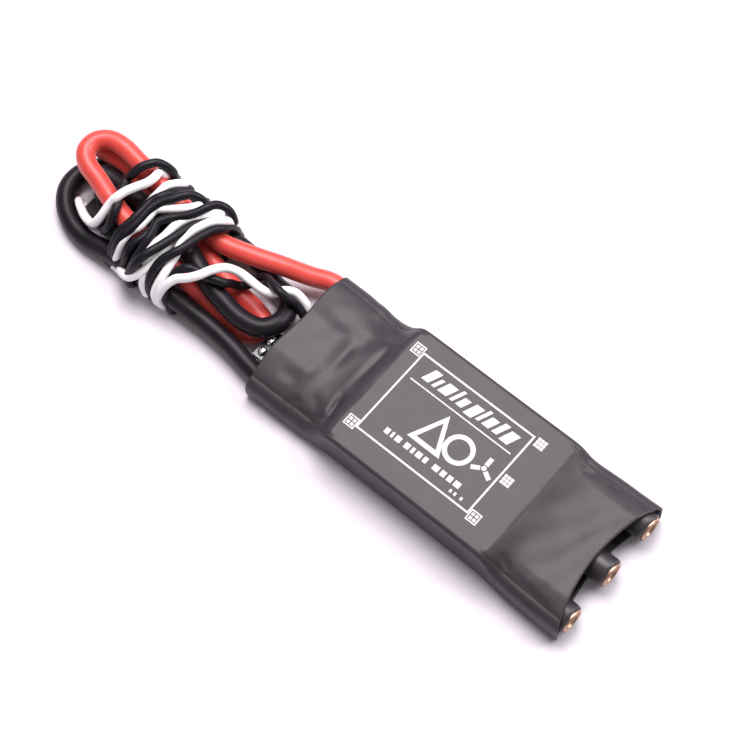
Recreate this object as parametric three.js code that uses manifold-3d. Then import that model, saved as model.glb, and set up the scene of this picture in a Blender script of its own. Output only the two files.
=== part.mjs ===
// Brushless electronic speed controller: a flat power stage shrunk into a soft black sleeve, three gold
// phase sockets at the output end, and red and black supply leads folded into a bundle at the input end,
// with a two-strand signal cord wound around it. Millimetres, +Z up. +X runs from the input mouth to the
// phase sockets, and z = 0 is the surface that the body lies on. Positions below are measured from midway
// between the mouth and the sockets' fronts, and the whole group is moved along at the end.

import * as THREE from 'three';
import * as BufferGeometryUtils from 'three/addons/utils/BufferGeometryUtils.js';
import Module from 'manifold-3d';

const wasm = await Module();
wasm.setup();

// ---- Driving dimensions ---------------------------------------------------------------------------

const BODY_LENGTH = 68; // input mouth to the front of the phase sockets
const MOUTH_X = -BODY_LENGTH / 2;
const FRONT_X = BODY_LENGTH / 2;
const GAP = 0.3; // clearance between pieces that touch on the real object

const SLEEVE_WALL = 0.5;
const SLEEVE_FRONT_X = 33.3; // the output lip's corners
const LIP_RECESS = 2.9; // how far the output lip draws back in the middle
const LIP_RECESS_START_X = 24;
// Stations along the sleeve: x, half width, height, top corner's width and height.
const SLEEVE_STATIONS = [
  [MOUTH_X, 13.3, 6.3, 4.2, 2.9],
  [-32, 13.3, 6.7, 4.2, 3.2],
  [-29, 13.3, 6.9, 4.0, 3.2],
  [-26, 13.3, 6.9, 4.0, 3.2],
  [-23.5, 13.3, 6.6, 3.6, 2.8],
  [-21, 13.2, 6.7, 3.2, 2.4],
  [-18.8, 13.1, 7.5, 2.0, 1.8],
  [-16.9, 13.0, 8.5, 1.5, 1.4],
  [0, 12.9, 8.5, 1.5, 1.4],
  [17.8, 13.1, 8.5, 1.5, 1.4],
  [19.8, 13.5, 7.6, 2.4, 2.0],
  [21.8, 13.7, 7.15, 3.0, 2.6],
  [24, 13.8, 7.2, 3.2, 2.8],
  [28, 13.8, 7.2, 3.2, 2.8],
  [SLEEVE_FRONT_X, 13.9, 7.0, 3.2, 2.8],
];
const SLEEVE_BOTTOM_CORNER = 1.0;
const CORNER_STEPS = 5;

const BOARD_Z = 2.6;
const BOARD_THICKNESS = 1.0;
const BOARD_TOP = BOARD_Z + BOARD_THICKNESS;
const BOARD_HALF_WIDTH = 12.0;
const BOARD_BACK_X = -28.4;
const BOARD_FRONT_X = 18.8;
const TONGUE_REACH = 3.1; // how far the board's input edge stands out of the mouth
const TONGUE_STEP_REACH = 1.1;
const TONGUE_LEFT_Y = 3.0;
const TONGUE_STEP_Y = -2.0;
const TONGUE_RIGHT_Y = -7.8;

const MOSFET = { length: 4.9, width: 4.0, height: 1.0, pitch: 5.6, columns: 6, rowY: 5.9 };
const PAD_THICKNESS = 0.5;
const PLATE = { length: 34.0, width: 23.4, height: 1.75, edge: 0.4 };

const SOCKET_RADIUS = 2.25;
const SOCKET_BORE_RADIUS = 1.75;
const SOCKET_LENGTH = 14;
const SOCKET_BORE_DEPTH = 9;
const SOCKET_CUP_DEPTH = 3.4;
const SOCKET_CUP_RADIUS = 1.6;
const SOCKET_CHAMFER = 0.25;
const SOCKET_SPACING = 10.2;
const SOCKET_Z = 3.5;
const SOCKET_SIDES = 24;
const SLUG_RADIUS = 1.25; // the solder between the board's edge and a socket's cup
const SOCKET_SLEEVE = { inner: 2.4, outer: 2.7, length: 10.4, setback: 1.2 };

const LEAD_RADIUS = 1.75;
const TIP_RADIUS = 1.0;
const TIP_LENGTH = 2.0;
const STRAND_RADIUS = 0.8;
const CORD_SIDES = 8;

const PLUG = { length: 14, width: 7.6, height: 2.6, slots: 3, slotPitch: 2.54, slotSize: 1.6 };

// ---- Materials ------------------------------------------------------------------------------------

function material(color, roughness, metalness = 0) {
  return new THREE.MeshStandardMaterial({ color, roughness, metalness });
}

const SHRINK = material(0x3f3d40, 0.55);
const ALUMINIUM = material(0xb9bcc0, 0.35, 1);
const SILICONE_PAD = material(0x8fa3b8, 0.8);
const BOARD = material(0x14402c, 0.5);
const CHIP = material(0x1b1b1d, 0.6);
const CERAMIC = material(0xb59b74, 0.6);
const TANTALUM = material(0x6f5a2c, 0.5);
const RESONATOR = material(0xc8c6bd, 0.4, 0.8);
const SOLDER = material(0xd0d2d4, 0.3, 1);
const GOLD = material(0xd9a45c, 0.25, 1);
const SOCKET_SHRINK = material(0x2c2a2e, 0.5);
const RED_SILICONE = material(0xd02018, 0.5);
const BLACK_SILICONE = material(0x1a181c, 0.45);
const WHITE_WIRE = material(0xf3f2ef, 0.4);
const BLACK_WIRE = material(0x1c1a1e, 0.4);
const PLUG_BLACK = material(0x1a1a1c, 0.5);

// ---- Helpers --------------------------------------------------------------------------------------

const group = new THREE.Group();

function add(name, geometry, meshMaterial, position = [0, 0, 0], rotation = [0, 0, 0]) {
  const mesh = new THREE.Mesh(geometry, meshMaterial);
  mesh.name = name;
  mesh.position.set(...position);
  mesh.rotation.set(...rotation);
  group.add(mesh);
}

function toManifold(geometry) {
  const bare = geometry.clone();
  bare.deleteAttribute('normal');
  bare.deleteAttribute('uv');
  const merged = BufferGeometryUtils.mergeVertices(bare, 1e-4);
  return new wasm.Manifold(new wasm.Mesh({
    numProp: 3,
    vertProperties: new Float32Array(merged.attributes.position.array),
    triVerts: new Uint32Array(merged.index.array),
  }));
}

function toGeometry(solid) {
  const mesh = solid.getMesh();
  const geometry = new THREE.BufferGeometry();
  geometry.setAttribute('position', new THREE.BufferAttribute(mesh.vertProperties, 3));
  geometry.setIndex(new THREE.BufferAttribute(mesh.triVerts, 1));
  return geometry;
}

function fuse(geometries) {
  const solids = geometries.map(toManifold);
  return toGeometry(solids.reduce((whole, solid) => whole.add(solid)));
}

function cut(geometry, cutters) {
  const solids = cutters.map(toManifold);
  return toGeometry(solids.reduce((whole, solid) => whole.subtract(solid), toManifold(geometry)));
}

function box(sizeX, sizeY, sizeZ, x = 0, y = 0, z = 0) {
  return new THREE.BoxGeometry(sizeX, sizeY, sizeZ).translate(x, y, z);
}

// A slab cut from an outline in the XY plane, from z = 0 up, with a small bevel on its edges.
function slab(points, height, bevel = 0) {
  const shape = new THREE.Shape(points.map(([x, y]) => new THREE.Vector2(x, y)));
  const geometry = new THREE.ExtrudeGeometry(shape, {
    depth: height - 2 * bevel,
    bevelEnabled: bevel > 0,
    bevelThickness: bevel,
    bevelSize: bevel,
    bevelOffset: -bevel,
    bevelSegments: 1,
  });
  return geometry.translate(0, 0, bevel);
}

function rectangle(length, width) {
  return [
    [-length / 2, -width / 2],
    [length / 2, -width / 2],
    [length / 2, width / 2],
    [-length / 2, width / 2],
  ];
}

// A turned piece whose axis lies along +X, from a profile of [distance along the axis, radius].
function turned(profile, sides) {
  const points = profile.map(([along, radius]) => new THREE.Vector2(radius, along));
  return new THREE.LatheGeometry(points, sides).rotateZ(-Math.PI / 2);
}

// A low rounded bead of solder, standing on z = 0.
function bead(length, width, height) {
  const dome = new THREE.SphereGeometry(1, 12, 8).scale(length / 2, width / 2, height);
  return cut(dome, [box(length * 2, width * 2, height * 2, 0, 0, -height)]);
}

function tube(points, radius, steps) {
  const path = new THREE.CatmullRomCurve3(points.map((point) => new THREE.Vector3(...point)));
  const section = new THREE.Shape();
  section.absarc(0, 0, radius, 0, 2 * Math.PI);
  return new THREE.ExtrudeGeometry(section, { steps, curveSegments: CORD_SIDES, extrudePath: path });
}

// Routes are stated from the input mouth, with x negative along the bundle.
function fromMouth(points) {
  return points.map(([x, y, z]) => [MOUTH_X + x, y, z]);
}

// A loft through rings of the same number of points, closed by its two end rings.
function ringMesh(rings, closedLoop) {
  const count = rings[0].length;
  const positions = rings.flat(2);
  const index = [];
  const last = closedLoop ? rings.length : rings.length - 1;
  for (let i = 0; i < last; i += 1) {
    const next = (i + 1) % rings.length;
    for (let j = 0; j < count; j += 1) {
      const k = (j + 1) % count;
      index.push(i * count + j, next * count + k, next * count + j);
      index.push(i * count + j, i * count + k, next * count + k);
    }
  }
  const geometry = new THREE.BufferGeometry();
  geometry.setAttribute('position', new THREE.Float32BufferAttribute(positions, 3));
  geometry.setIndex(index);
  return geometry;
}

// ---- Outer shrink sleeve --------------------------------------------------------------------------

// One section of the sleeve in the YZ plane: a rectangle with elliptical corners, anticlockwise seen
// from +X, with extra points along its flats so that every section has the same number of points.
function sleeveSection(halfWidth, height, cornerY, cornerZ, inset) {
  const outline = [];
  const top = height - inset;
  const side = halfWidth - inset;
  const corners = [
    { y: side, z: top, ry: cornerY - inset, rz: cornerZ - inset, from: 0 },
    { y: -side, z: top, ry: cornerY - inset, rz: cornerZ - inset, from: 90 },
    { y: -side, z: inset, ry: SLEEVE_BOTTOM_CORNER - inset, rz: SLEEVE_BOTTOM_CORNER - inset, from: 180 },
    { y: side, z: inset, ry: SLEEVE_BOTTOM_CORNER - inset, rz: SLEEVE_BOTTOM_CORNER - inset, from: 270 },
  ];
  corners.forEach((corner, number) => {
    const centreY = corner.y - Math.sign(corner.y) * corner.ry;
    const centreZ = number < 2 ? corner.z - corner.rz : corner.z + corner.rz;
    for (let step = 0; step <= CORNER_STEPS; step += 1) {
      const angle = THREE.MathUtils.degToRad(corner.from + (90 * step) / CORNER_STEPS);
      outline.push([centreY + corner.ry * Math.cos(angle), centreZ + corner.rz * Math.sin(angle)]);
    }
    if (number % 2 === 0) {
      const flatHalf = Math.abs(centreY);
      const direction = number === 0 ? -1 : 1;
      [-0.6, -0.2, 0.2, 0.6].forEach((share) => outline.push([direction * share * flatHalf, corner.z]));
    }
  });
  return outline;
}

function sleeveRing([x, halfWidth, height, cornerY, cornerZ], inset) {
  const draw = THREE.MathUtils.smoothstep(x, LIP_RECESS_START_X, SLEEVE_FRONT_X);
  return sleeveSection(halfWidth, height, cornerY, cornerZ, inset).map(([y, z]) => {
    const across = Math.min(1, Math.abs(y) / halfWidth);
    return [x - LIP_RECESS * draw * (1 - across * across), y, z];
  });
}

function buildSleeve() {
  const outside = SLEEVE_STATIONS.map((station) => sleeveRing(station, 0));
  const inside = SLEEVE_STATIONS.map((station) => sleeveRing(station, SLEEVE_WALL)).reverse();
  add('outer_shrink_sleeve', ringMesh([...outside, ...inside], true), SHRINK);
}

// ---- Power stage inside the sleeve ----------------------------------------------------------------

function buildBoard() {
  const outline = [
    [BOARD_FRONT_X, -BOARD_HALF_WIDTH],
    [BOARD_FRONT_X, BOARD_HALF_WIDTH],
    [BOARD_BACK_X, BOARD_HALF_WIDTH],
    [BOARD_BACK_X, TONGUE_LEFT_Y],
    [MOUTH_X - TONGUE_STEP_REACH, TONGUE_LEFT_Y],
    [MOUTH_X - TONGUE_STEP_REACH, TONGUE_STEP_Y],
    [MOUTH_X - TONGUE_REACH, TONGUE_STEP_Y],
    [MOUTH_X - TONGUE_REACH, TONGUE_RIGHT_Y],
    [BOARD_BACK_X, TONGUE_RIGHT_Y],
    [BOARD_BACK_X, -BOARD_HALF_WIDTH],
  ];
  add('power_board', slab(outline, BOARD_THICKNESS), BOARD, [0, 0, BOARD_Z]);
}

// A moulded package with gull-wing leads in rows along its two long sides.
function leadedChip({ length, width, height, leads, pitch, lead }) {
  const pieces = [slab(rectangle(length, width), height, 0.1)];
  for (let i = 0; i < leads; i += 1) {
    const x = (i - (leads - 1) / 2) * pitch;
    pieces.push(box(pitch * 0.42, width + 2 * lead, 0.2, x, 0, 0.15));
  }
  return fuse(pieces);
}

function buildMosfets() {
  const shape = { ...MOSFET, leads: 4, pitch: 1.27, lead: 0.95 };
  const firstX = -((MOSFET.columns - 1) * MOSFET.pitch) / 2;
  let number = 1;
  for (const side of [1, -1]) {
    for (let column = 0; column < MOSFET.columns; column += 1) {
      const x = firstX + column * MOSFET.pitch + 0.4;
      const name = `mosfet_${String(number).padStart(2, '0')}`;
      add(name, leadedChip(shape), CHIP, [x, side * MOSFET.rowY, BOARD_TOP + GAP]);
      number += 1;
    }
  }
}

function buildHeatSpreader() {
  const padZ = BOARD_TOP + GAP + MOSFET.height + GAP;
  const plateZ = padZ + PAD_THICKNESS + 0.2;
  add('thermal_pad', slab(rectangle(PLATE.length - 1, PLATE.width - 2), PAD_THICKNESS), SILICONE_PAD,
    [0.4, 0, padZ]);
  add('heatsink_plate', slab(rectangle(PLATE.length, PLATE.width), PLATE.height, PLATE.edge), ALUMINIUM,
    [0.4, 0, plateZ]);
}

function buildControlParts() {
  const under = BOARD_Z - GAP; // parts on the lower side hang down from here
  const driver = { length: 4.9, width: 3.9, height: 1.2, leads: 4, pitch: 1.27, lead: 1.0 };
  const hang = [Math.PI, 0, 0];
  [-8.5, 0, 8.5].forEach((y, i) => {
    add(`gate_driver_${i + 1}`, leadedChip(driver), CHIP, [11.5, y, under], hang);
  });
  const controller = { length: 7, width: 7, height: 1.2, leads: 8, pitch: 0.8, lead: 1.0 };
  add('microcontroller', leadedChip(controller), CHIP, [-2.5, 0, under], hang);
  const regulator = { length: 6.5, width: 3.5, height: 1.3, leads: 3, pitch: 2.3, lead: 1.6 };
  add('voltage_regulator', leadedChip(regulator), CHIP, [-16, -5.5, under], hang);
  add('resonator', slab(rectangle(3.2, 1.3), 0.9, 0.1), RESONATOR, [-9.5, 0, under], hang);
  const ceramic = () => slab(rectangle(3.2, 1.6), 1.2, 0.12);
  [-10, -6, 4, 8].forEach((y, i) => {
    add(`ceramic_capacitor_${i + 1}`, ceramic(), CERAMIC, [4.8, y, under], hang);
  });
  [5.2, 8.4].forEach((y, i) => {
    add(`ceramic_capacitor_${i + 5}`, ceramic(), CERAMIC, [-16, y, under], hang);
  });
}

function buildInputParts() {
  const shape = () => slab(rectangle(7.3, 4.3), 1.9, 0.2);
  [-3.2, 1.5].forEach((y, i) => {
    add(`input_capacitor_${i + 1}`, shape(), TANTALUM, [-28.3, y, BOARD_TOP + GAP]);
  });
  add('positive_solder_joint', bead(3.6, 4.2, 1.5), SOLDER, [-26.4, 9.4, BOARD_TOP + GAP]);
  add('negative_solder_joint', bead(3.6, 4.2, 1.5), SOLDER, [-26.4, -9.4, BOARD_TOP + GAP]);
  const pads = [[-2.0, -6.4], [-2.1, -4.0], [-0.2, 0.9]];
  pads.forEach(([x, y], i) => {
    add(`input_pad_solder_${i + 1}`, bead(1.7, 1.9, 0.7), SOLDER, [MOUTH_X + x, y, BOARD_TOP + 0.05]);
  });
}

// ---- Phase sockets --------------------------------------------------------------------------------

function socketGeometry() {
  const boreStart = SOCKET_LENGTH - SOCKET_BORE_DEPTH;
  return turned([
    [SOCKET_CUP_DEPTH, 0],
    [SOCKET_CUP_DEPTH, SOCKET_CUP_RADIUS],
    [0, SOCKET_CUP_RADIUS],
    [0, SOCKET_RADIUS],
    [SOCKET_LENGTH - SOCKET_CHAMFER, SOCKET_RADIUS],
    [SOCKET_LENGTH, SOCKET_RADIUS - SOCKET_CHAMFER / 2],
    [SOCKET_LENGTH, SOCKET_BORE_RADIUS],
    [boreStart, SOCKET_BORE_RADIUS],
    [boreStart, 0],
  ], SOCKET_SIDES);
}

function socketSleeveGeometry() {
  const { inner, outer, length } = SOCKET_SLEEVE;
  return turned([[0, inner], [0, outer], [length, outer], [length, inner], [0, inner]], SOCKET_SIDES);
}

function buildPhaseSockets() {
  const backX = FRONT_X - SOCKET_LENGTH;
  const sleeveX = FRONT_X - SOCKET_SLEEVE.setback - SOCKET_SLEEVE.length;
  ['a', 'b', 'c'].forEach((phase, i) => {
    const y = (1 - i) * SOCKET_SPACING;
    add(`phase_connector_${phase}`, socketGeometry(), GOLD, [backX, y, SOCKET_Z]);
    add(`phase_sleeve_${phase}`, socketSleeveGeometry(), SOCKET_SHRINK, [sleeveX, y, SOCKET_Z]);
    const slugBack = BOARD_FRONT_X + GAP - backX;
    const slugFront = SOCKET_CUP_DEPTH - GAP;
    const slugOutline = [[slugBack, 0], [slugBack, SLUG_RADIUS], [slugFront, SLUG_RADIUS], [slugFront, 0]];
    const slug = turned(slugOutline, 12);
    add(`phase_solder_joint_${phase}`, slug, SOLDER, [backX, y, SOCKET_Z]);
  });
}

// ---- Supply leads ---------------------------------------------------------------------------------

// The red lead leaves the +Y corner, doubles back in a raised loop at the far end of the bundle,
// turns again near the mouth and ends inside that loop.
const RED_ROUTE = [
  [4.9, 10.3, 3.3], [2, 10.9, 3.4], [-1.2, 11.1, 3.5], [-5.1, 9.3, 4.2], [-9.9, 7.2, 5.4],
  [-15, 5.2, 5.9], [-20, 3.7, 6.3], [-24, 3.8, 6.8], [-28, 4.1, 7.1], [-33, 4.6, 7.3], [-36.5, 5, 8],
  [-40.7, 5.3, 9], [-44.5, 5.7, 9.4], [-47.6, 5.2, 9.4], [-49.3, 3.4, 9.4], [-49.2, 0.9, 9.4],
  [-47.2, -0.8, 9.2], [-44.2, -1.6, 8.7], [-40.6, -2.6, 7.8], [-36.5, -3.6, 7.2], [-32, -4.2, 6.9],
  [-28, -4.5, 6.5], [-24, -4.7, 5.4], [-19.5, -4.9, 3.6], [-16, -4.9, 2.6], [-13, -5, 2.1],
  [-9.6, -5.1, 1.9], [-7, -5, 1.85], [-5.6, -3.7, 1.85], [-6, -1.7, 1.85], [-8.6, -0.8, 1.85],
  [-12.6, -0.4, 2.1], [-16, 0, 2.8], [-19.5, 0.7, 3.4], [-24, 1.8, 3.5], [-29, 2.6, 3.5],
  [-33, 3.1, 3.5], [-36.5, 3.4, 3.8], [-40, 4.2, 5.2], [-43, 4.8, 5.6], [-46, 4.7, 5.6],
  [-49.9, 4.3, 5.6],
];

// The black lead leaves the -Y corner, runs round the far end on the surface, turns over itself near
// the mouth, and ends under the red loop.
const BLACK_ROUTE = [
  [4.9, -9.6, 3], [2, -10.2, 2.9], [-2.2, -9.7, 2.7], [-7.1, -8.9, 2.9], [-12.3, -8.5, 3.1],
  [-16, -8.5, 3.3], [-19.5, -8.6, 3.4], [-24, -8.8, 3.5], [-29, -9, 3.5], [-33, -9, 3.4],
  [-37, -9.2, 2.7], [-41, -9.5, 1.95], [-45, -8.7, 1.85], [-48.2, -6.9, 1.85], [-50.2, -4.5, 1.85],
  [-50.8, -1.8, 1.85], [-50.1, 0.9, 1.85], [-48.3, 3.2, 1.85], [-45.7, 5, 1.85], [-42.4, 6.2, 1.9],
  [-39, 6.9, 2.5], [-36, 7.1, 3.2], [-33, 6.8, 3.5], [-28, 6.4, 3.5], [-24, 6.1, 3.5],
  [-19.5, 6.3, 3.2], [-16, 6.5, 2.2], [-13, 6.3, 1.85], [-9.4, 5, 2], [-6.2, 4.4, 2.9],
  [-3.8, 2.3, 4.2], [-2.8, -0.9, 5.3], [-4.3, -3.9, 5.7], [-8.2, -4.9, 5.8], [-12.6, -4.4, 5.9],
  [-16, -3.7, 6.1], [-19.5, -2.5, 6.5], [-24, -1.1, 6.9], [-29, -0.4, 6.9], [-33, 0.1, 6.8],
  [-36.5, 0.6, 6.5], [-40, 0.7, 6], [-43, 1, 5.6], [-46.2, 0.8, 5.5],
];

function buildLead(name, route, steps) {
  const points = fromMouth(route);
  add(name, tube(points, LEAD_RADIUS, steps), name === 'red_lead' ? RED_SILICONE : BLACK_SILICONE);
  const end = new THREE.Vector3(...points[points.length - 1]);
  const along = end.clone().sub(new THREE.Vector3(...points[points.length - 2])).normalize();
  const from = end.clone().addScaledVector(along, GAP);
  const to = from.clone().addScaledVector(along, TIP_LENGTH);
  add(`${name}_tip`, tube([from.toArray(), to.toArray()], TIP_RADIUS, 1), SOLDER);
}

// ---- Signal cord ----------------------------------------------------------------------------------

const WHITE_START = [
  [1.2, 4.3, 3.7], [-0.5, 4.3, 3.7], [-2.4, 4.7, 5.1], [-4.2, 4.6, 6.1], [-5.7, 3.5, 6.6],
  [-6.8, 1.7, 6.8], [-8.4, 1, 7.4], [-10.8, 0.9, 7.8], [-13.2, 0.8, 8], [-15.1, -0.4, 9.2],
  [-16.2, -2.8, 10.6], [-16.9, -4.8, 11], [-18.3, -6.3, 10.4],
];
const BLACK_START = [
  [1.2, 2.4, 4.6], [-0.4, 2.7, 4.7], [-2.4, 2.9, 6.2], [-3.5, 2.4, 7.6], [-5, 2.2, 8.7],
  [-7.4, 2.7, 8.2], [-9.6, 3.5, 6.5], [-11.3, 3, 5.1], [-11.7, 1.3, 4.9], [-12.7, -0.1, 5],
  [-13.5, -1.3, 6.7], [-13.8, -2.5, 8.4], [-15.2, -3.2, 8.9], [-16.7, -3.8, 9], [-18.6, -4, 9.1],
];
const WHITE_TAIL = [
  [-35.3, 8.6, 8.9], [-35.35, 7.4, 10.4], [-35.4, 5.0, 11.3], [-35.7, 2.2, 11.4], [-36.4, -0.2, 11.0],
  [-37.4, -2.8, 10.5], [-38.7, -5.4, 9.4], [-39.9, -6.5, 7.0], [-41.2, -7.2, 4.9], [-43.0, -7.0, 4.1],
  [-44.9, -6.1, 3.9], [-46.2, -5.3, 3.3], [-46.7, -4.9, 2.5], [-46.2, -4.75, 1.9],
  [-45.15, -4.74, 1.8],
];
const BLACK_TAIL = [
  [-35.35, -4.4, 10.4], [-36.1, -6.3, 8.8], [-37.0, -7.3, 6.8], [-37.9, -6.9, 5.3],
  [-39.6, -5.9, 5.1], [-41.4, -4.6, 4.7], [-43.3, -2.8, 4.4], [-45.2, -1.5, 4.05],
  [-46.6, -0.3, 2.8], [-46.8, 0.3, 2.1], [-46.1, 0.34, 1.85], [-45.15, 0.34, 1.8],
];

// The wound stretch of both strands: an oval ring round the folded leads, at x, with its outer limits
// in Y and Z. The lead runs and the plug's front end lie in its hollow.
const WINDING_STATIONS = [
  { x: -20.2, left: 10.4, right: -12.2, top: 10.2 },
  { x: -25.0, left: 10.4, right: -12.3, top: 10.4 },
  { x: -30.0, left: 10.4, right: -12.4, top: 10.7 },
  { x: -34.2, left: 10.4, right: -12.4, top: 11.2 },
];
const WINDING_WALL = 1.4;
const WINDING_BOTTOM = 0.05;

function windingRing({ x, left, right, top }, inset) {
  const corners = [
    { y: left - inset, z: top - inset, radius: 5.4 - inset, from: 0 },
    { y: right + inset, z: top - inset, radius: 5.4 - inset, from: 90 },
    { y: right + inset, z: WINDING_BOTTOM + inset, radius: 3.2 - inset, from: 180 },
    { y: left - inset, z: WINDING_BOTTOM + inset, radius: 3.2 - inset, from: 270 },
  ];
  return corners.flatMap(({ y, z, radius, from }, number) => {
    const centreY = number === 0 || number === 3 ? y - radius : y + radius;
    const centreZ = number < 2 ? z - radius : z + radius;
    return Array.from({ length: CORNER_STEPS + 1 }, (_, step) => {
      const angle = THREE.MathUtils.degToRad(from + (90 * step) / CORNER_STEPS);
      return [MOUTH_X + x, centreY + radius * Math.cos(angle), centreZ + radius * Math.sin(angle)];
    });
  });
}

function buildWinding() {
  const outside = WINDING_STATIONS.map((station) => windingRing(station, 0));
  const inside = WINDING_STATIONS.map((station) => windingRing(station, WINDING_WALL));
  add('signal_winding', ringMesh([...inside, ...outside.reverse()], true), BLACK_WIRE);
}

// The receiver plug lies in the bundle, its cord end at PLUG_REAR and its open end towards PLUG_FRONT.
const PLUG_REAR = new THREE.Vector3(MOUTH_X - 44.8, -2.2, 1.8);
const PLUG_FRONT = new THREE.Vector3(MOUTH_X - 30.8, -2.85, 3.4);

function buildPlug() {
  const slotY = (slot) => (slot - (PLUG.slots - 1) / 2) * PLUG.slotPitch;
  const body = slab(rectangle(PLUG.length, PLUG.width), PLUG.height, 0.25).translate(PLUG.length / 2, 0, 0);
  const slots = Array.from({ length: PLUG.slots }, (_, slot) => (
    box(PLUG.length + 2, PLUG.slotSize, PLUG.slotSize, PLUG.length / 2, slotY(slot), PLUG.height / 2)
  ));
  const lies = PLUG_FRONT.clone().sub(PLUG_REAR).normalize();
  const turn = new THREE.Quaternion().setFromUnitVectors(new THREE.Vector3(1, 0, 0), lies);
  const place = (geometry) => geometry
    .translate(0, 0, -PLUG.height / 2)
    .applyQuaternion(turn)
    .translate(PLUG_REAR.x, PLUG_REAR.y, PLUG_REAR.z);
  add('signal_plug', place(cut(body, slots)), PLUG_BLACK);
  [0, 2].forEach((slot, i) => {
    const length = PLUG.length - 5;
    const size = PLUG.slotSize - 0.5;
    const contact = box(length, size, size, PLUG.length - length / 2 - 0.8, slotY(slot), PLUG.height / 2);
    add(`signal_contact_${i + 1}`, place(contact), GOLD);
  });
}

function buildSignalCord() {
  add('signal_white_strand', tube(fromMouth(WHITE_START), STRAND_RADIUS, 8), WHITE_WIRE);
  add('signal_black_strand', tube(fromMouth(BLACK_START), STRAND_RADIUS, 8), BLACK_WIRE);
  add('signal_white_tail', tube(fromMouth(WHITE_TAIL), STRAND_RADIUS, 14), WHITE_WIRE);
  add('signal_black_tail', tube(fromMouth(BLACK_TAIL), STRAND_RADIUS, 12), BLACK_WIRE);
  buildWinding();
  buildPlug();
}

buildSleeve();
buildBoard();
buildMosfets();
buildHeatSpreader();
buildControlParts();
buildInputParts();
buildPhaseSockets();
buildLead('red_lead', RED_ROUTE, 36);
buildLead('black_lead', BLACK_ROUTE, 38);
buildSignalCord();

// The origin is under the middle of the body, from the board's edge to the sockets' fronts.
group.position.x = TONGUE_REACH / 2;

export default group;
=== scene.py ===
import math

import bmesh
import bpy
import numpy as np
from mathutils import Matrix, Vector


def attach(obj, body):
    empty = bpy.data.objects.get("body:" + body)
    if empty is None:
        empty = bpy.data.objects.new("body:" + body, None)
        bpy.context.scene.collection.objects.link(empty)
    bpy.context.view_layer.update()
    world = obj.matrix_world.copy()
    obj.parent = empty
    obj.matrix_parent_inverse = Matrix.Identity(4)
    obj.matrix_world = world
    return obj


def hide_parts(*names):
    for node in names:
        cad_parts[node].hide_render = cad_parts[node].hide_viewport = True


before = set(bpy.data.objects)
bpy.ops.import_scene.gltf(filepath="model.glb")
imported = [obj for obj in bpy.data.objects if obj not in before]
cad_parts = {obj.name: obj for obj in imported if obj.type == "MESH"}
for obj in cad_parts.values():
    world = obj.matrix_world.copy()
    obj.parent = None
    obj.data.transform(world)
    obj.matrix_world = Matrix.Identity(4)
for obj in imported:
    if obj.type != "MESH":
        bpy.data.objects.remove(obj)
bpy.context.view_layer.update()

# Lengths below are in millimetres, from the sleeve's mouth (x), the body's middle (y) and the surface
# that it lies on (z), and MM turns them into metres in the row frame.
MM = 0.001
MOUTH_X = -32.45
ROOT = "root"


def metres(points):
    """Points in millimetres from the mouth, as row-frame metres."""
    p = np.asarray(points, float)
    return (p + np.array([MOUTH_X, 0.0, 0.0])) * MM


# ---- Camera ------------------------------------------------------------------------------------------

AZIMUTH, ELEVATION, ROLL = (math.radians(a) for a in (43.9, 65.2, -3.7))
CAMERA_DISTANCE = 0.372
AIM = metres([15.6, 2.3, 4.0])
LENS = 106.3
SENSOR_WIDTH = 36.0


def build_camera():
    flat = math.cos(ELEVATION)
    back = Vector((math.sin(AZIMUTH) * flat, -math.cos(AZIMUTH) * flat, math.sin(ELEVATION)))
    level = Vector((math.cos(AZIMUTH), math.sin(AZIMUTH), 0.0))
    up = back.cross(level)
    right = math.cos(ROLL) * level + math.sin(ROLL) * up
    top = -math.sin(ROLL) * level + math.cos(ROLL) * up
    data = bpy.data.cameras.new("camera")
    data.lens = LENS
    data.sensor_width = SENSOR_WIDTH
    data.clip_start = 0.01
    camera = bpy.data.objects.new("camera", data)
    turn = Matrix((right, top, back)).transposed().to_4x4()
    camera.matrix_world = Matrix.Translation(Vector(AIM) + CAMERA_DISTANCE * back) @ turn
    bpy.context.collection.objects.link(camera)
    bpy.context.scene.camera = camera


build_camera()


# ---- Materials ---------------------------------------------------------------------------------------

def node_material(name):
    made = bpy.data.materials.new(name)
    made.use_nodes = True
    tree = made.node_tree
    shader = tree.nodes["Principled BSDF"]
    place = tree.nodes.new("ShaderNodeTexCoord")
    return made, tree, shader, place.outputs["Object"]


def noise(tree, where, scale, detail=4.0, rough=0.5, distortion=0.0):
    made = tree.nodes.new("ShaderNodeTexNoise")
    made.inputs["Scale"].default_value = scale
    made.inputs["Detail"].default_value = detail
    made.inputs["Roughness"].default_value = rough
    made.inputs["Distortion"].default_value = distortion
    tree.links.new(where, made.inputs["Vector"])
    return made.outputs["Fac"]


def ramp(tree, value, stops):
    made = tree.nodes.new("ShaderNodeValToRGB")
    band = made.color_ramp
    while len(band.elements) < len(stops):
        band.elements.new(0.5)
    for element, (at, colour) in zip(band.elements, stops):
        element.position = at
        element.color = (*colour, 1.0)
    tree.links.new(value, made.inputs["Fac"])
    return made.outputs["Color"]


def spread(tree, value, low, high, from_low=0.3, from_high=0.7):
    made = tree.nodes.new("ShaderNodeMapRange")
    made.inputs["From Min"].default_value = from_low
    made.inputs["From Max"].default_value = from_high
    made.inputs["To Min"].default_value = low
    made.inputs["To Max"].default_value = high
    tree.links.new(value, made.inputs["Value"])
    return made.outputs["Result"]


def bump(tree, height, strength, distance, under=None):
    made = tree.nodes.new("ShaderNodeBump")
    made.inputs["Strength"].default_value = strength
    made.inputs["Distance"].default_value = distance
    tree.links.new(height, made.inputs["Height"])
    if under is not None:
        tree.links.new(under, made.inputs["Normal"])
    return made.outputs["Normal"]


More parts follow.
